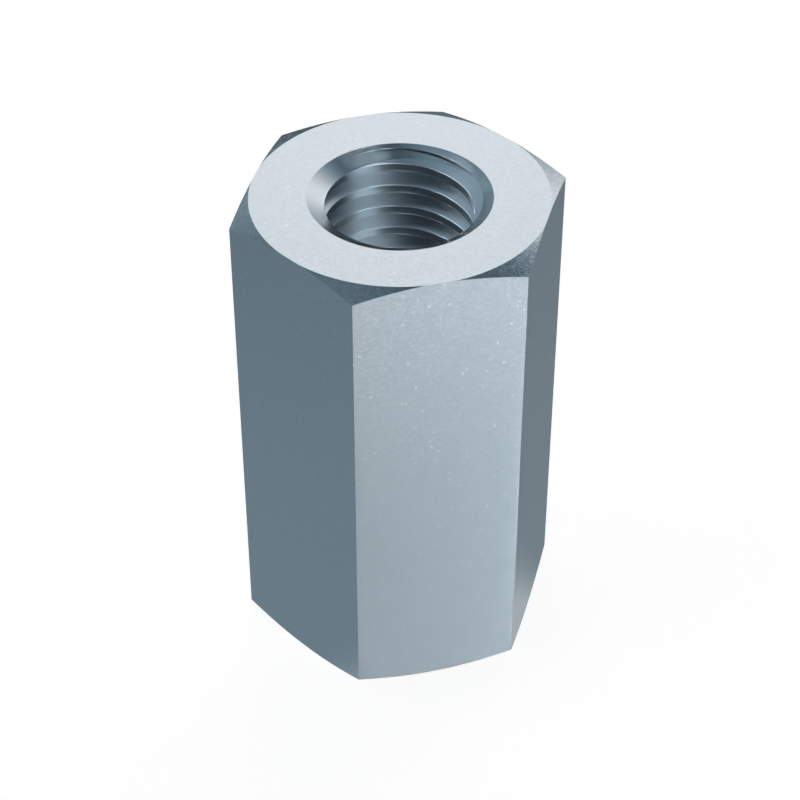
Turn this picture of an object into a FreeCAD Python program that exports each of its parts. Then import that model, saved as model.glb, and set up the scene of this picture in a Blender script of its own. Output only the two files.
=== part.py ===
# Hexagonal coupling nut: one piece of plated steel, open right through.
# Millimetres, +Z along the thread axis, origin at the centre of the bottom
# face. Two opposite corners of the hexagon lie on the X axis, so one pair of
# wrench flats faces -Y and +Y. The bore has the diameter of the thread's
# crests, which is the hole that is drilled before the thread is cut.

import FreeCAD, Part
import math
import os

os.makedirs("parts", exist_ok=True)

# Body
across_flats = 17.0              # between two opposite wrench flats
length = 30.0                    # end face to end face
chamfer_deg = 22.8               # slope of the corner chamfer from the face
chamfer_circle_over_flats = 0.05  # chamfer circle less across flats

# Thread
major_d = 10.0                   # at the bottom of the groove
pitch = 1.5                      # advance in one turn

# Countersink at each end face
sink_deg = 120.0                 # included angle of the cone
sink_over_major = 0.54           # opening diameter less thread diameter

# Sizes that follow
sides = 6
corner_r = across_flats / 2.0 / math.cos(math.pi / sides)
chamfer_r = (across_flats + chamfer_circle_over_flats) / 2.0
bore_r = (major_d - pitch) / 2.0
sink_r = (major_d + sink_over_major) / 2.0

overshoot = 1.0                  # how far each cut runs past the solid
bore_sectors = 3                 # faces around the bore

ORIGIN = FreeCAD.Vector(0, 0, 0)
X_AXIS = FreeCAD.Vector(1, 0, 0)
Z_AXIS = FreeCAD.Vector(0, 0, 1)


def polar(radius, azimuth_deg, z=0.0):
    """Point at a radius, an azimuth from +X and a height."""
    a = math.radians(azimuth_deg)
    return FreeCAD.Vector(radius * math.cos(a), radius * math.sin(a), z)


def turned(outline):
    """Solid of revolution about Z from (radius, height) corners.

    The outline is drawn over +Y, through the middle of a wrench flat.
    """
    corners = [FreeCAD.Vector(0, r, z) for r, z in outline]
    face = Part.Face(Part.makePolygon(corners + corners[:1]))
    return face.revolve(ORIGIN, Z_AXIS, 360)


def hexagonal_bar():
    """Six wrench flats over the full length."""
    corners = [polar(corner_r, 360.0 / sides * i) for i in range(sides + 1)]
    face = Part.Face(Part.makePolygon(corners))
    return face.extrude(Z_AXIS * length)


def chamfer_envelope():
    """Turned shape that cuts the corners back in a cone at both ends."""
    outer_r = corner_r + overshoot
    drop = (outer_r - chamfer_r) * math.tan(math.radians(chamfer_deg))
    return turned([
        (0, 0), (chamfer_r, 0), (outer_r, drop),
        (outer_r, length - drop), (chamfer_r, length), (0, length),
    ])


def bore():
    """Drilled hole past both end faces, its wall in equal sectors."""
    step = 360.0 / bore_sectors
    arcs = []
    for i in range(bore_sectors):
        start, middle, end = [polar(bore_r, step * (i + k), -overshoot) for k in (0, 0.5, 1)]
        arcs.append(Part.Arc(start, middle, end).toShape())
    face = Part.Face(Part.Wire(arcs))
    return face.extrude(Z_AXIS * (length + 2 * overshoot))


def countersink():
    """Cone that opens the bore at the bottom face."""
    slope = math.tan(math.radians(sink_deg / 2.0))
    tip = sink_r / slope
    outer_r = sink_r + overshoot * slope
    return turned([(0, -overshoot), (outer_r, -overshoot), (0, tip)])


def coupling_nut():
    """The whole nut: bar, chamfered corners, bore and countersinks."""
    nut = hexagonal_bar().common(chamfer_envelope())
    nut = nut.cut(bore())
    lower = countersink()
    upper = countersink()
    upper.rotate(ORIGIN, X_AXIS, 180)
    upper.translate(Z_AXIS * length)
    return nut.cut(lower).cut(upper).Solids[0]


nut = coupling_nut()
nut.exportStep("parts/coupling_nut.step")
print("valid", nut.isValid(), "volume", round(nut.Volume, 2), "faces", len(nut.Faces))
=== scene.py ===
"""Hexagonal coupling nut of zinc plated steel, standing on one end on a pale floor.

The nut is one closed skin, worked out as a ring of meridians: up the threaded
bore, over the countersink's rim, out across the end face, down the corner
chamfer and the wrench flat, and back under the other end. Its sizes are those
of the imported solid. Lengths are millimetres until a mesh is made.
"""

import math

import bpy
import numpy as np
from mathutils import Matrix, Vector


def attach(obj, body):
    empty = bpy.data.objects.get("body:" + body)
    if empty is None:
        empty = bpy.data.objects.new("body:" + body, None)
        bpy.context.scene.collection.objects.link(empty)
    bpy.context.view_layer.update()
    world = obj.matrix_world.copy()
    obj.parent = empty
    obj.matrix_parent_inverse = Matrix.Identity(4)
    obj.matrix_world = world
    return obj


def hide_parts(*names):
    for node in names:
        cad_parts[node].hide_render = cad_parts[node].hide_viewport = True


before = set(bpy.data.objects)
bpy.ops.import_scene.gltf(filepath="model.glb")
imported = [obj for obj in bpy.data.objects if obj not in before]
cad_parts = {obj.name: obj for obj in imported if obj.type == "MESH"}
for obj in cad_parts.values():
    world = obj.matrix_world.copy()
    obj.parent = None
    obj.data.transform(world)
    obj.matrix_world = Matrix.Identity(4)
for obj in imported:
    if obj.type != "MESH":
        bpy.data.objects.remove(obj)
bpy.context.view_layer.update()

MM = 0.001

# Body
ACROSS_FLATS = 17.0
LENGTH = 30.0
CHAMFER_DEG = 22.8
CHAMFER_R = 8.525
CORNER_ROUND = 0.06

# Thread, one start, right hand
PITCH = 1.5
MAJOR_R = 5.0
BORE_R = 4.25
ROOT_FLAT = 0.13
FLANK_DEG = 30.0
GROOVE_AZIMUTH = 130.0
CREST_ROUND = 0.05

# Countersink at each end
SINK_R = 5.27
SINK_HALF_DEG = 60.0

# Mesh
MERIDIAN_STEP_DEG = 1.5
MEET_GAP_DEG = 0.4               # even meridians stay this far from where circle and flat meet
WIDE_RUN = 0.3                   # a run of the thread taller than this is a flank or crest
WELD = 3e-4                      # points in one cell of this size are one point
SHARP_DEG = 20.0                 # an edge over this angle is shaded sharp
TINY = 1e-9


# The nut
def fold(parts):
    """Arrays laid end to end as one."""
    return np.concatenate([np.atleast_1d(p) for p in parts])


def meridian_angles():
    """Azimuths in degrees round the nut, from 0 to 360.

    Even steps, with the steps next to a corner moved onto its small round and
    one each side of a flat's middle where the chamfer circle meets the flat.
    """
    centre = (ACROSS_FLATS / 2 - CORNER_ROUND) / math.cos(math.pi / 6)
    turn = np.radians([-30.0, -15.0, 0.0, 15.0, 30.0])
    rounding = np.degrees(np.arctan2(CORNER_ROUND * np.sin(turn), centre + CORNER_ROUND * np.cos(turn)))
    meet = math.degrees(math.acos(ACROSS_FLATS / 2 / CHAMFER_R))
    even = np.arange(MERIDIAN_STEP_DEG, 60.0 - MERIDIAN_STEP_DEG / 2, MERIDIAN_STEP_DEG)
    clear_before = np.abs(even - 30.0 + meet) > MEET_GAP_DEG
    clear_after = np.abs(even - 30.0 - meet) > MEET_GAP_DEG
    even = even[clear_before & clear_after]
    side = np.sort(fold([even, 30.0 - meet, 30.0 + meet, rounding[2:], 60.0 + rounding[:2]]))
    return fold([side + 60.0 * k for k in range(6)] + [360.0])


def hexagon_radius(azimuth):
    """Distance from the axis to the outside of the hexagon, its corners rounded.

    On a flat it is half the width across flats over the cosine of the angle
    from the flat's normal. At a corner it is the far side of a small circle
    that touches both flats.
    """
    off_flat = (azimuth % 60.0) - 30.0
    flat = ACROSS_FLATS / 2 / np.cos(np.radians(off_flat))
    centre = (ACROSS_FLATS / 2 - CORNER_ROUND) / math.cos(math.pi / 6)
    off_corner = np.radians(30.0 - np.abs(off_flat))
    inside = np.maximum(CORNER_ROUND**2 - (centre * np.sin(off_corner)) ** 2, 0.0)
    rounded = centre * np.cos(off_corner) + np.sqrt(inside)
    edge = math.atan2(CORNER_ROUND * 0.5, centre + CORNER_ROUND * math.cos(math.pi / 6))
    return np.where(off_corner < edge + TINY, rounded, flat)


def thread_profile():
    """One pitch of the thread as heights from the groove's middle and radii.

    A flat root, a straight flank each side and a crest whose two edges are
    small rounds: each round turns through 60 degrees in four steps and touches
    the crest and the flank.
    """
    slope = math.tan(math.radians(FLANK_DEG))
    mouth = ROOT_FLAT / 2 + (MAJOR_R - BORE_R) * slope
    reach = CREST_ROUND * math.tan(math.radians(30.0))
    turn = np.radians(np.linspace(0.0, 60.0, 5))
    height = mouth + reach - CREST_ROUND * np.sin(turn)
    radius = BORE_R + CREST_ROUND * (1.0 - np.cos(turn))
    up_s = fold([ROOT_FLAT / 2, height[::-1]])
    up_r = fold([MAJOR_R, radius[::-1]])
    return fold([-up_s[::-1], up_s]), fold([up_r[::-1], up_r])


def bore_wall(azimuth):
    """Heights and radii of the bore's rows, bottom to top, at each azimuth.

    A row keeps its place on the thread's profile and climbs one pitch a turn.
    The wall is the larger of the thread and the two countersink cones. Where
    the cone cuts a straight run of the profile, five more rows lie on the cut,
    bent to a small round. Elsewhere they lie together at the run's end, but for
    one on each flank and crest that keeps its shading flat.
    """
    slope = math.tan(math.radians(SINK_HALF_DEG))
    s_one, r_one = thread_profile()
    turns = np.arange(-2, int(LENGTH / PITCH) + 2)
    s = (turns[:, None] * PITCH + s_one[None, :]).ravel()
    r = np.tile(r_one, len(turns))
    foot = LENGTH - PITCH * GROOVE_AZIMUTH / 360.0
    foot -= PITCH * math.floor(foot / PITCH)
    z = foot + PITCH * azimuth[None, :] / 360.0 + s[:, None]

    def cone(height):
        return SINK_R - slope * np.minimum(height, LENGTH - height)

    def wall(height):
        return np.maximum(start + run * np.clip(height - z[:-1], 0.0, step), cone(height))

    low = np.clip(z[:-1], 0.0, LENGTH)
    high = np.clip(z[1:], 0.0, LENGTH)
    step = (s[1:] - s[:-1])[:, None]
    run = (r[1:] - r[:-1])[:, None] / step
    start = r[:-1][:, None]
    top = z[:-1] > LENGTH / 2
    lean = np.where(top, slope, -slope)
    base = np.where(top, SINK_R - slope * LENGTH, SINK_R)
    apart = run - lean
    level = np.abs(apart) < 1e-6
    cut = np.where(level, low, (base - start + run * z[:-1]) / np.where(level, 1.0, apart))
    cut = np.clip(cut, low, high)
    cut_r, low_r, high_r = wall(cut), wall(low), wall(high)
    reach = CREST_ROUND * math.tan(math.radians(30.0))

    def toward(end, end_r):
        length = np.hypot(end - cut, end_r - cut_r)
        part = np.minimum(reach, length / 2) / np.maximum(length, TINY)
        return (end - cut) * part, (end_r - cut_r) * part

    down, down_r = toward(low, low_r)
    up, up_r = toward(high, high_r)
    rows_z, rows_r = [low], [low_r]
    uncut = (cut <= low) | (cut >= high)
    wide = step > WIDE_RUN
    for t in (0.0, 0.25, 0.5, 0.75, 1.0):
        fall = np.where(uncut, wide * (t == 0.0), (1 - t) ** 2)
        rise = np.where(uncut, wide * (t == 1.0), t**2)
        rows_z.append(cut + fall * down + rise * up)
        rows_r.append(cut_r + fall * down_r + rise * up_r)
    wall_z = np.stack(rows_z, 1).reshape(-1, len(azimuth))
    wall_r = np.stack(rows_r, 1).reshape(-1, len(azimuth))
    return np.vstack([wall_z, high[-1:]]), np.vstack([wall_r, high_r[-1:]])


def outside(azimuth):
    """Heights and radii of the outer rows, from the top rim round to the bottom.

    The end face ends at the chamfer circle or the flat, whichever is nearer
    the axis. The chamfer then falls at its slope to the side.
    """
    side = hexagon_radius(azimuth)
    ring = np.minimum(side, CHAMFER_R)
    drop = (side - ring) * math.tan(math.radians(CHAMFER_DEG))
    mid = (SINK_R + ring) / 2
    floor = 0 * side
    ceiling = LENGTH + floor
    heights = [ceiling, ceiling, ceiling - drop, drop, floor, floor]
    radii = [mid, ring, side, side, ring, mid]
    return np.array(heights), np.array(radii)


def welded(points, quads):
    """Points that coincide made one, and the four-sided and three-sided faces left."""
    key = np.round(points / WELD).astype(np.int64)
    _, first, same = np.unique(key, axis=0, return_index=True, return_inverse=True)
    quads = same.reshape(-1)[quads]
    follows = quads != np.roll(quads, -1, axis=1)
    count = follows.sum(1)
    four = quads[count == 4]
    three = quads[count == 3]
    three = three[follows[count == 3]].reshape(-1, 3)
    crossed = (four[:, 0] == four[:, 2]) | (four[:, 1] == four[:, 3])
    return points[first], four[~crossed], three


def nut_skin(azimuth):
    """The whole skin as a grid: a row for each height, a column for each azimuth.

    Rows run up the bore and back down the outside, and the last joins the
    first. The last column repeats the first, one turn of thread further on.
    """
    wall_z, wall_r = bore_wall(azimuth)
    out_z, out_r = outside(azimuth)
    z = np.vstack([wall_z, out_z])
    r = np.vstack([wall_r, out_r])
    turn = np.radians(azimuth)[None, :]
    points = np.stack([r * np.cos(turn), r * np.sin(turn), z], -1)
    rows, cols = z.shape
    at = np.arange(rows * cols).reshape(rows, cols)
    up = np.roll(at, -1, axis=0)
    quads = np.stack([at[:, :-1], up[:, :-1], up[:, 1:], at[:, 1:]], -1)
    return welded(points.reshape(-1, 3), quads.reshape(-1, 4))


def mesh_piece(name, points, four, three):
    """A mesh object of these faces in metres, smooth but for its sharp edges."""
    mesh = bpy.data.meshes.new(name)
    mesh.from_pydata(points * MM, [], four.tolist() + three.tolist())
    mesh.validate()
    mesh.shade_smooth()
    mesh.set_sharp_from_angle(angle=math.radians(SHARP_DEG))
    piece = bpy.data.objects.new(name, mesh)
    bpy.context.scene.collection.objects.link(piece)
    return piece


# Materials
class Val:
    """A socket with arithmetic: an expression on it adds Math nodes."""

    def __init__(self, graph, socket):
        self.graph = graph
        self.socket = socket

    def _math(self, operation, a, b=None):
        values = {0: a} if b is None else {0: a, 1: b}
        return self.graph.node("ShaderNodeMath", {"operation": operation}, values)

    def __add__(self, other):
        return self._math("ADD", self, other)

    def __radd__(self, other):
        return self._math("ADD", other, self)

    def __sub__(self, other):
        return self._math("SUBTRACT", self, other)

    def __rsub__(self, other):
        return self._math("SUBTRACT", other, self)

    def __mul__(self, other):
        return self._math("MULTIPLY", self, other)

    def root(self):
        return self._math("SQRT", self)

    def size(self):
        return self._math("ABSOLUTE", self)

    def exp(self):
        return self._math("EXPONENT", self)

    def above(self, limit):
        return self._math("GREATER_THAN", self, limit)

    def below(self, limit):
        return self._math("LESS_THAN", self, limit)

    def least(self, other):
        return self._math("MINIMUM", self, other)

    def smooth(self, start, end):
        """0 below start, 1 above end and a soft step between."""
        settings = {"interpolation_type": "SMOOTHSTEP"}
        values = {"Value": self, "From Min": start, "From Max": end}
        return self.graph.node("ShaderNodeMapRange", settings, values)


class Graph:
    """Adds nodes to an emptied node tree."""

    def __init__(self, tree):
        self.tree = tree
        tree.nodes.clear()

    def node(self, kind, settings=None, values=None, out=0):
        """Adds a node: its settings, then a value or link for each socket named."""
        added = self.tree.nodes.new(kind)
        for key, value in (settings or {}).items():
            setattr(added, key, value)
        for key, value in (values or {}).items():
            socket = added.inputs[key]
            if isinstance(value, Val):
                self.tree.links.new(value.socket, socket)
            else:
                socket.default_value = value
        return Val(self, added.outputs[out]) if len(added.outputs) else None

    def mix(self, amount, low, high):
        """A colour between two, by an amount from 0 to 1."""
        settings = {"data_type": "RGBA"}
        return self.node("ShaderNodeMix", settings, {0: amount, 6: low, 7: high}, 2)

    def vector(self, operation, a, b=None, scale=1.0):
        """A vector from one or two others."""
        values = {0: a, 3: scale} if b is None else {0: a, 1: b}
        return self.node("ShaderNodeVectorMath", {"operation": operation}, values)

    def dot(self, a, b):
        """The dot product of two vectors."""
        return self.node("ShaderNodeVectorMath", {"operation": "DOT_PRODUCT"}, {0: a, 1: b}, 1)

    def noise(self, where, scale, detail, roughness):
        """Soft 3D noise from 0 to 1, with this many cells to the metre."""
        return self.node("ShaderNodeTexNoise", {"noise_dimensions": "3D"}, {
            "Vector": where, "Scale": scale, "Detail": detail, "Roughness": roughness,
        })

    def emission(self, colour, strength=1.0):
        """A surface that shines by itself. A strength of 1 is white."""
        return self.node("ShaderNodeEmission", None, {"Color": colour, "Strength": strength})


def new_material(name):
    """A material and the graph that fills it."""
    material = bpy.data.materials.new(name)
    material.use_nodes = True
    return material, Graph(material.node_tree)


# Zinc plate: the outside between two tones, the cut cones, the thread painted lighter as painted light for
# its shaded bore, and a facet painted lighter as a painted glint
PLATE_LIGHT = (0.579, 0.634, 0.677, 1.0)
PLATE_DARK = (0.561, 0.616, 0.658, 1.0)
PLATE_CUT = (0.572, 0.627, 0.670, 1.0)
PLATE_THREAD_PAINTED_LIGHT = (0.640, 0.708, 0.765, 1.0)
PLATE_GLINT = (0.93, 0.95, 0.97, 1.0)
ROUGHNESS = 0.22
CLOUD_ROUGHER = 0.01
CUT_SMOOTHER = 0.04
THREAD_ROUGHER = 0.12

# Its grain: cells to the metre, and how strongly they tilt the surface
COARSE_SCALE = 4200.0
FINE_SCALE = 9500.0
FACET_SCALE = 6800.0
CLOUD_SCALE = 700.0
CLOUD_SPAN = (0.35, 0.65)        # levels of the cloud that go from dark to light
COARSE_SHARE = 0.6
FACET_SHARE = 0.7                # share of the tone that a facet sets, the cloud setting the rest
GRAIN_STRENGTH = 0.6
GRAIN_DEPTH = 0.02
FACET_LEAN = 0.065
CRYSTAL_LEAN = 0.05
CRYSTAL_CHANCE = 0.988           # facets above this level of chance are crystals, tilted further and painted lighter as a painted glint
CRYSTAL_GLINT_SHARE = 0.25
GRAIN_LEAST = 0.25               # what is left of the grain at the bottom end
GRAIN_FADE = (4, 26)             # heights between which it grows to its full strength
END_FACE_LOSS = 0.6              # share of the grain that the end faces lack

# Where the masks change
SKIN_SLACK = 0.01                # past the countersink's rim, so that the rim is inside
THREAD_START = 0.58              # depth at which the countersink gives way to the thread
END_SLACK = 0.002                # depth down to which a point is on an end face


def zinc_plate():
    """Blue-white zinc plate, matt with a fine crystalline grain outside.

    The grain is two scales of noise as a bump over small tilted facets, a few
    of them crystals, tilted further and painted lighter as a painted glint. It
    is fainter on the end faces and fades towards the bottom end. The
    countersinks and the thread were cut smooth and carry no grain. The thread
    is rougher than the cones, and painted lighter as painted light that stands
    in for the light its recessed bore lacks.
    """
    material, g = new_material("zinc_plate")
    where = g.node("ShaderNodeTexCoord", out="Object")
    x, y, z = [g.node("ShaderNodeSeparateXYZ", None, {0: where}, i) for i in range(3)]
    radius = (x * x + y * y).root()
    inside = radius.below((SINK_R + SKIN_SLACK) * MM)
    from_middle = (z - LENGTH / 2 * MM).size()
    thread = inside * from_middle.below((LENGTH / 2 - THREAD_START) * MM)
    outside_skin = 1 - inside

    end_face = from_middle.above((LENGTH / 2 - END_SLACK) * MM)
    grown = z.smooth(GRAIN_FADE[0] * MM, GRAIN_FADE[1] * MM) * (1 - GRAIN_LEAST) + GRAIN_LEAST
    amount = grown * (1 - end_face * END_FACE_LOSS)

    cells = {"voronoi_dimensions": "3D", "feature": "F1"}
    facet = g.node("ShaderNodeTexVoronoi", cells, {
        "Vector": where, "Scale": FACET_SCALE, "Randomness": 1.0,
    }, "Color")
    shade = g.node("ShaderNodeSeparateColor", None, {0: facet}, 1)
    chance = g.node("ShaderNodeSeparateColor", None, {0: facet}, 2)
    crystal_and_glint = chance.smooth(CRYSTAL_CHANCE, 1.0) * outside_skin * amount
    lean = g.vector("SUBTRACT", facet, (0.5, 0.5, 0.5))
    tilt = outside_skin * (amount * FACET_LEAN + crystal_and_glint * CRYSTAL_LEAN)
    lean = g.vector("SCALE", lean, scale=tilt)
    level = g.node("ShaderNodeNewGeometry", out="Normal")
    tilted = g.vector("NORMALIZE", g.vector("ADD", level, lean))

    coarse = g.noise(where, COARSE_SCALE, 1.0, 0.5)
    fine = g.noise(where, FINE_SCALE, 1.0, 0.5)
    grain = (coarse * COARSE_SHARE + fine * (1 - COARSE_SHARE)) * outside_skin * amount
    bump = g.node("ShaderNodeBump", None, {
        "Height": grain, "Strength": GRAIN_STRENGTH, "Distance": GRAIN_DEPTH * MM, "Normal": tilted,
    })

    cloud = g.noise(where, CLOUD_SCALE, 2.0, 0.6)
    mottling = cloud.smooth(*CLOUD_SPAN) * (1 - FACET_SHARE) + shade * FACET_SHARE
    tone = g.mix(mottling, PLATE_DARK, PLATE_LIGHT)
    tone = g.mix(inside, tone, PLATE_CUT)
    # Painted light: the thread painted lighter than the cones, standing in for light that the recessed
    # bore lacks
    tone = g.mix(thread, tone, PLATE_THREAD_PAINTED_LIGHT)
    # Painted glint: the crystals painted part way towards near-white
    tone = g.mix(crystal_and_glint * CRYSTAL_GLINT_SHARE, tone, PLATE_GLINT)
    roughness = ROUGHNESS + (cloud - 0.5) * CLOUD_ROUGHER - inside * CUT_SMOOTHER + thread * THREAD_ROUGHER
    metal = g.node("ShaderNodeBsdfPrincipled", None, {
        "Base Color": tone, "Metallic": 1.0, "Roughness": roughness, "Normal": bump,
    })
    g.node("ShaderNodeOutputMaterial", None, {"Surface": metal})
    return material


nut = mesh_piece("coupling_nut_skin", *nut_skin(meridian_angles()))
nut.data.materials.append(zinc_plate())
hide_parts("coupling_nut")
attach(nut, "root")


# The stage
WHITE = (1.0, 1.0, 1.0, 1.0)

FLOOR_RADIUS = 0.6
FLOOR_SIDES = 96
FLOOR_MATT = (0.9, 0.9, 0.9, 1.0)       # what other rays than the camera's meet
FLOOR_SEEN = (0.575, 0.497, 0.458, 1.0)  # its matt share for the camera, white in the bluish room
FLOOR_GLOW = 0.7                        # the rest of that white

# Painted reflection of the floor in the metal, darker near the nut in front as painted shade: near it, far
# from it, and the distances in metres between
PAINTED_REFLECTION_FRONT = (0.490, 0.525, 0.545, 1.0), (0.97, 0.985, 1.0, 1.0), (0.02, 0.082)
PAINTED_REFLECTION_BEHIND = (0.405, 0.434, 0.448, 1.0), (0.030, 0.045, 0.052, 1.0), (0.06, 0.14)
PAINTED_REFLECTION_LEFT = (0.229, 0.302, 0.345, 1.0), (0.166, 0.218, 0.250, 1.0), (0.01, 0.08)
PAINTED_REFLECTION_RIGHT = (0.221, 0.268, 0.299, 1.0), (0.178, 0.216, 0.242, 1.0), (0.01, 0.08)

# Where those tones lie: a bearing, and the angles from it at which they start and are full
BEHIND = (95, 53, 23)
LEFT = (185, 68, 32)
RIGHT = (25, 60, 24)

# Soft panels of the room: elevation, azimuth, brightness
PANELS = [
    (5, 48, 0.20), (5, 145, 0.78), (5, 173, 0.46), (5, 187, 0.57), (5, 242, 0.28),
    (5, 256, 0.34), (5, 270, 1.00), (5, 284, 1.60), (20, 30, 1.07), (20, 75, 0.27),
    (20, 150, 0.36), (20, 180, 0.52), (35, 26, 0.08), (33, 77, 1.04), (65, 180, 0.25),
    (80, 144, 0.08),
]
PANEL_SPREAD = 22.0
ROOM_DIM = (0.70, 1.05, 1.28, 1.0)      # its tint where it is dim
DIM_SPAN = (0.05, 0.8)                  # brightness from which the tint fades, and at which it is gone

# Fill lamps that cast no shadow: elevation, azimuth, brightness
FILLS = [
    (-60, 0, 0.97), (-60, 90, 1.10), (-40, 98, 0.95), (-40, 313, 0.78), (0, 30, 0.80),
    (0, 165, 0.66), (40, 157, 0.73), (40, 313, 0.73), (40, 333, 1.61), (60, 330, 0.51),
    (22, 290, 3.0), (-82, 290, 3.0), (5, 190, 2.4), (-26, 75, 0.5), (22, 130, 0.22),
]
FILL_SPREAD = 15.0
FILL_WIDTH = 2.4                 # a fill's disc across, in spreads
FILL_COLOUR = (0.84, 1.0, 1.12)

# Camera: its place and target in mm, its lens and its sensor's width
CAMERA_PLACE = (-26.516, -99.089, 100.995)
CAMERA_TARGET = (0.0, 0.0, 15.0)
CAMERA_LENS = 99.588
SENSOR_WIDTH = 36.0


def direction(elevation, azimuth):
    """Unit vector towards an elevation and an azimuth from +X, in degrees."""
    e, a = math.radians(elevation), math.radians(azimuth)
    return (math.cos(e) * math.cos(a), math.cos(e) * math.sin(a), math.sin(e))


def disc(name, radius, sides):
    """A flat round plate at z = 0, linked to the scene."""
    mesh = bpy.data.meshes.new(name)
    turn = np.linspace(0.0, 2 * np.pi, sides + 1)[:-1]
    ring = np.stack([radius * np.cos(turn), radius * np.sin(turn), 0 * turn], -1)
    mesh.from_pydata(ring, [], [list(range(sides))])
    plate = bpy.data.objects.new(name, mesh)
    bpy.context.scene.collection.objects.link(plate)
    return plate


def painted_floor_reflection(g):
    """Painted reflection: the floor's tones as the metal sees them, by bearing and distance, darker near
    the nut in front as painted shade.
    """
    where = g.node("ShaderNodeTexCoord", out="Object")
    away = g.node("ShaderNodeVectorMath", {"operation": "LENGTH"}, {0: where}, 1)
    bearing = g.vector("NORMALIZE", where)

    def tones(near, far, span):
        return g.mix(away.smooth(*span), near, far)

    def sector(azimuth, outer, inner):
        """1 within an angle of a bearing, 0 past a wider one."""
        toward = g.dot(bearing, direction(0, azimuth))
        return toward.smooth(math.cos(math.radians(outer)), math.cos(math.radians(inner)))

    tone = tones(*PAINTED_REFLECTION_FRONT)
    tone = g.mix(sector(*BEHIND), tone, tones(*PAINTED_REFLECTION_BEHIND))
    tone = g.mix(sector(*LEFT), tone, tones(*PAINTED_REFLECTION_LEFT))
    return g.mix(sector(*RIGHT), tone, tones(*PAINTED_REFLECTION_RIGHT))


def pale_floor():
    """A plain pale disc under the nut.

    The camera sees it white, most of that by its own light, with the nut's
    shadow kept faint. The metal sees a painted reflection: white far in front,
    darker near the nut in front as painted shade, grey at the two sides as if
    two grey boards lay there, and dark behind.
    """
    floor = disc("floor", FLOOR_RADIUS, FLOOR_SIDES)
    material, g = new_material("pale_floor")
    floor.data.materials.append(material)

    ray = "ShaderNodeLightPath"
    to_camera = g.node(ray, out="Is Camera Ray")
    in_metal = g.node(ray, out="Is Glossy Ray") + g.node(ray, out="Is Transmission Ray")
    matt = g.node("ShaderNodeBsdfDiffuse", None, {"Color": FLOOR_MATT})
    pale = g.node("ShaderNodeBsdfDiffuse", None, {"Color": FLOOR_SEEN})
    lit = g.node("ShaderNodeAddShader", None, {0: pale, 1: g.emission(WHITE, FLOOR_GLOW)})
    seen = g.node("ShaderNodeMixShader", None, {0: to_camera, 1: matt, 2: lit})
    # Painted reflection for glossy rays: floor tones by bearing and distance, darker near the nut in front
    # as painted shade
    painted_reflection = g.emission(painted_floor_reflection(g))
    surface = g.node("ShaderNodeMixShader", None, {0: in_metal.least(1.0), 1: seen, 2: painted_reflection})
    g.node("ShaderNodeOutputMaterial", None, {"Surface": surface})


def room():
    """The world: white to the camera, and soft round panels of light to the rest.

    A panel's brightness falls off round its middle as the exponential of the
    cosine less one, over one less the cosine of its spread. Where the room is
    dim it is bluish.
    """
    world = bpy.data.worlds.new("room")
    world.use_nodes = True
    g = Graph(world.node_tree)
    where = g.node("ShaderNodeTexCoord", out="Generated")
    sharp = 1.0 / (1.0 - math.cos(math.radians(PANEL_SPREAD)))
    total = 0.0
    for elevation, azimuth, bright in PANELS:
        along = g.dot(where, direction(elevation, azimuth))
        total = total + ((along - 1.0) * sharp).exp() * bright
    tint = g.mix(total.smooth(*DIM_SPAN), ROOM_DIM, WHITE)
    panels = g.node("ShaderNodeBackground", None, {"Color": tint, "Strength": total})
    white = g.node("ShaderNodeBackground", None, {"Color": WHITE, "Strength": 1.0})
    to_camera = g.node("ShaderNodeLightPath", out="Is Camera Ray")
    surface = g.node("ShaderNodeMixShader", None, {0: to_camera, 1: panels, 2: white})
    g.node("ShaderNodeOutputWorld", None, {"Surface": surface})
    bpy.context.scene.world = world


def fill_lamps():
    """Soft fills that cast no shadow and light directly only, so that they reach the thread."""
    solid = 2 * math.pi * (1.0 - math.cos(math.radians(FILL_SPREAD)))
    for i, (elevation, azimuth, bright) in enumerate(FILLS):
        data = bpy.data.lights.new("fill_%d" % (i + 1), "SUN")
        data.energy = bright * solid
        data.angle = math.radians(FILL_WIDTH * FILL_SPREAD)
        data.color = FILL_COLOUR
        data.use_shadow = False
        data.cycles.use_multiple_importance_sampling = False
        data.cycles.max_bounces = 0
        lamp = bpy.data.objects.new(data.name, data)
        towards = Vector(direction(elevation, azimuth))
        lamp.rotation_euler = towards.to_track_quat("Z", "Y").to_euler()
        bpy.context.scene.collection.objects.link(lamp)


def camera():
    """The scene's camera, turned to its target with +Z upwards."""
    data = bpy.data.cameras.new("camera")
    data.sensor_width = SENSOR_WIDTH
    data.lens = CAMERA_LENS
    stand = bpy.data.objects.new("camera", data)
    stand.location = Vector(CAMERA_PLACE) * MM
    towards = Vector(CAMERA_TARGET) - Vector(CAMERA_PLACE)
    stand.rotation_euler = towards.to_track_quat("-Z", "Y").to_euler()
    bpy.context.scene.collection.objects.link(stand)
    bpy.context.scene.camera = stand


pale_floor()
room()
fill_lamps()
camera()
bpy.context.scene.view_settings.view_transform = "Standard"
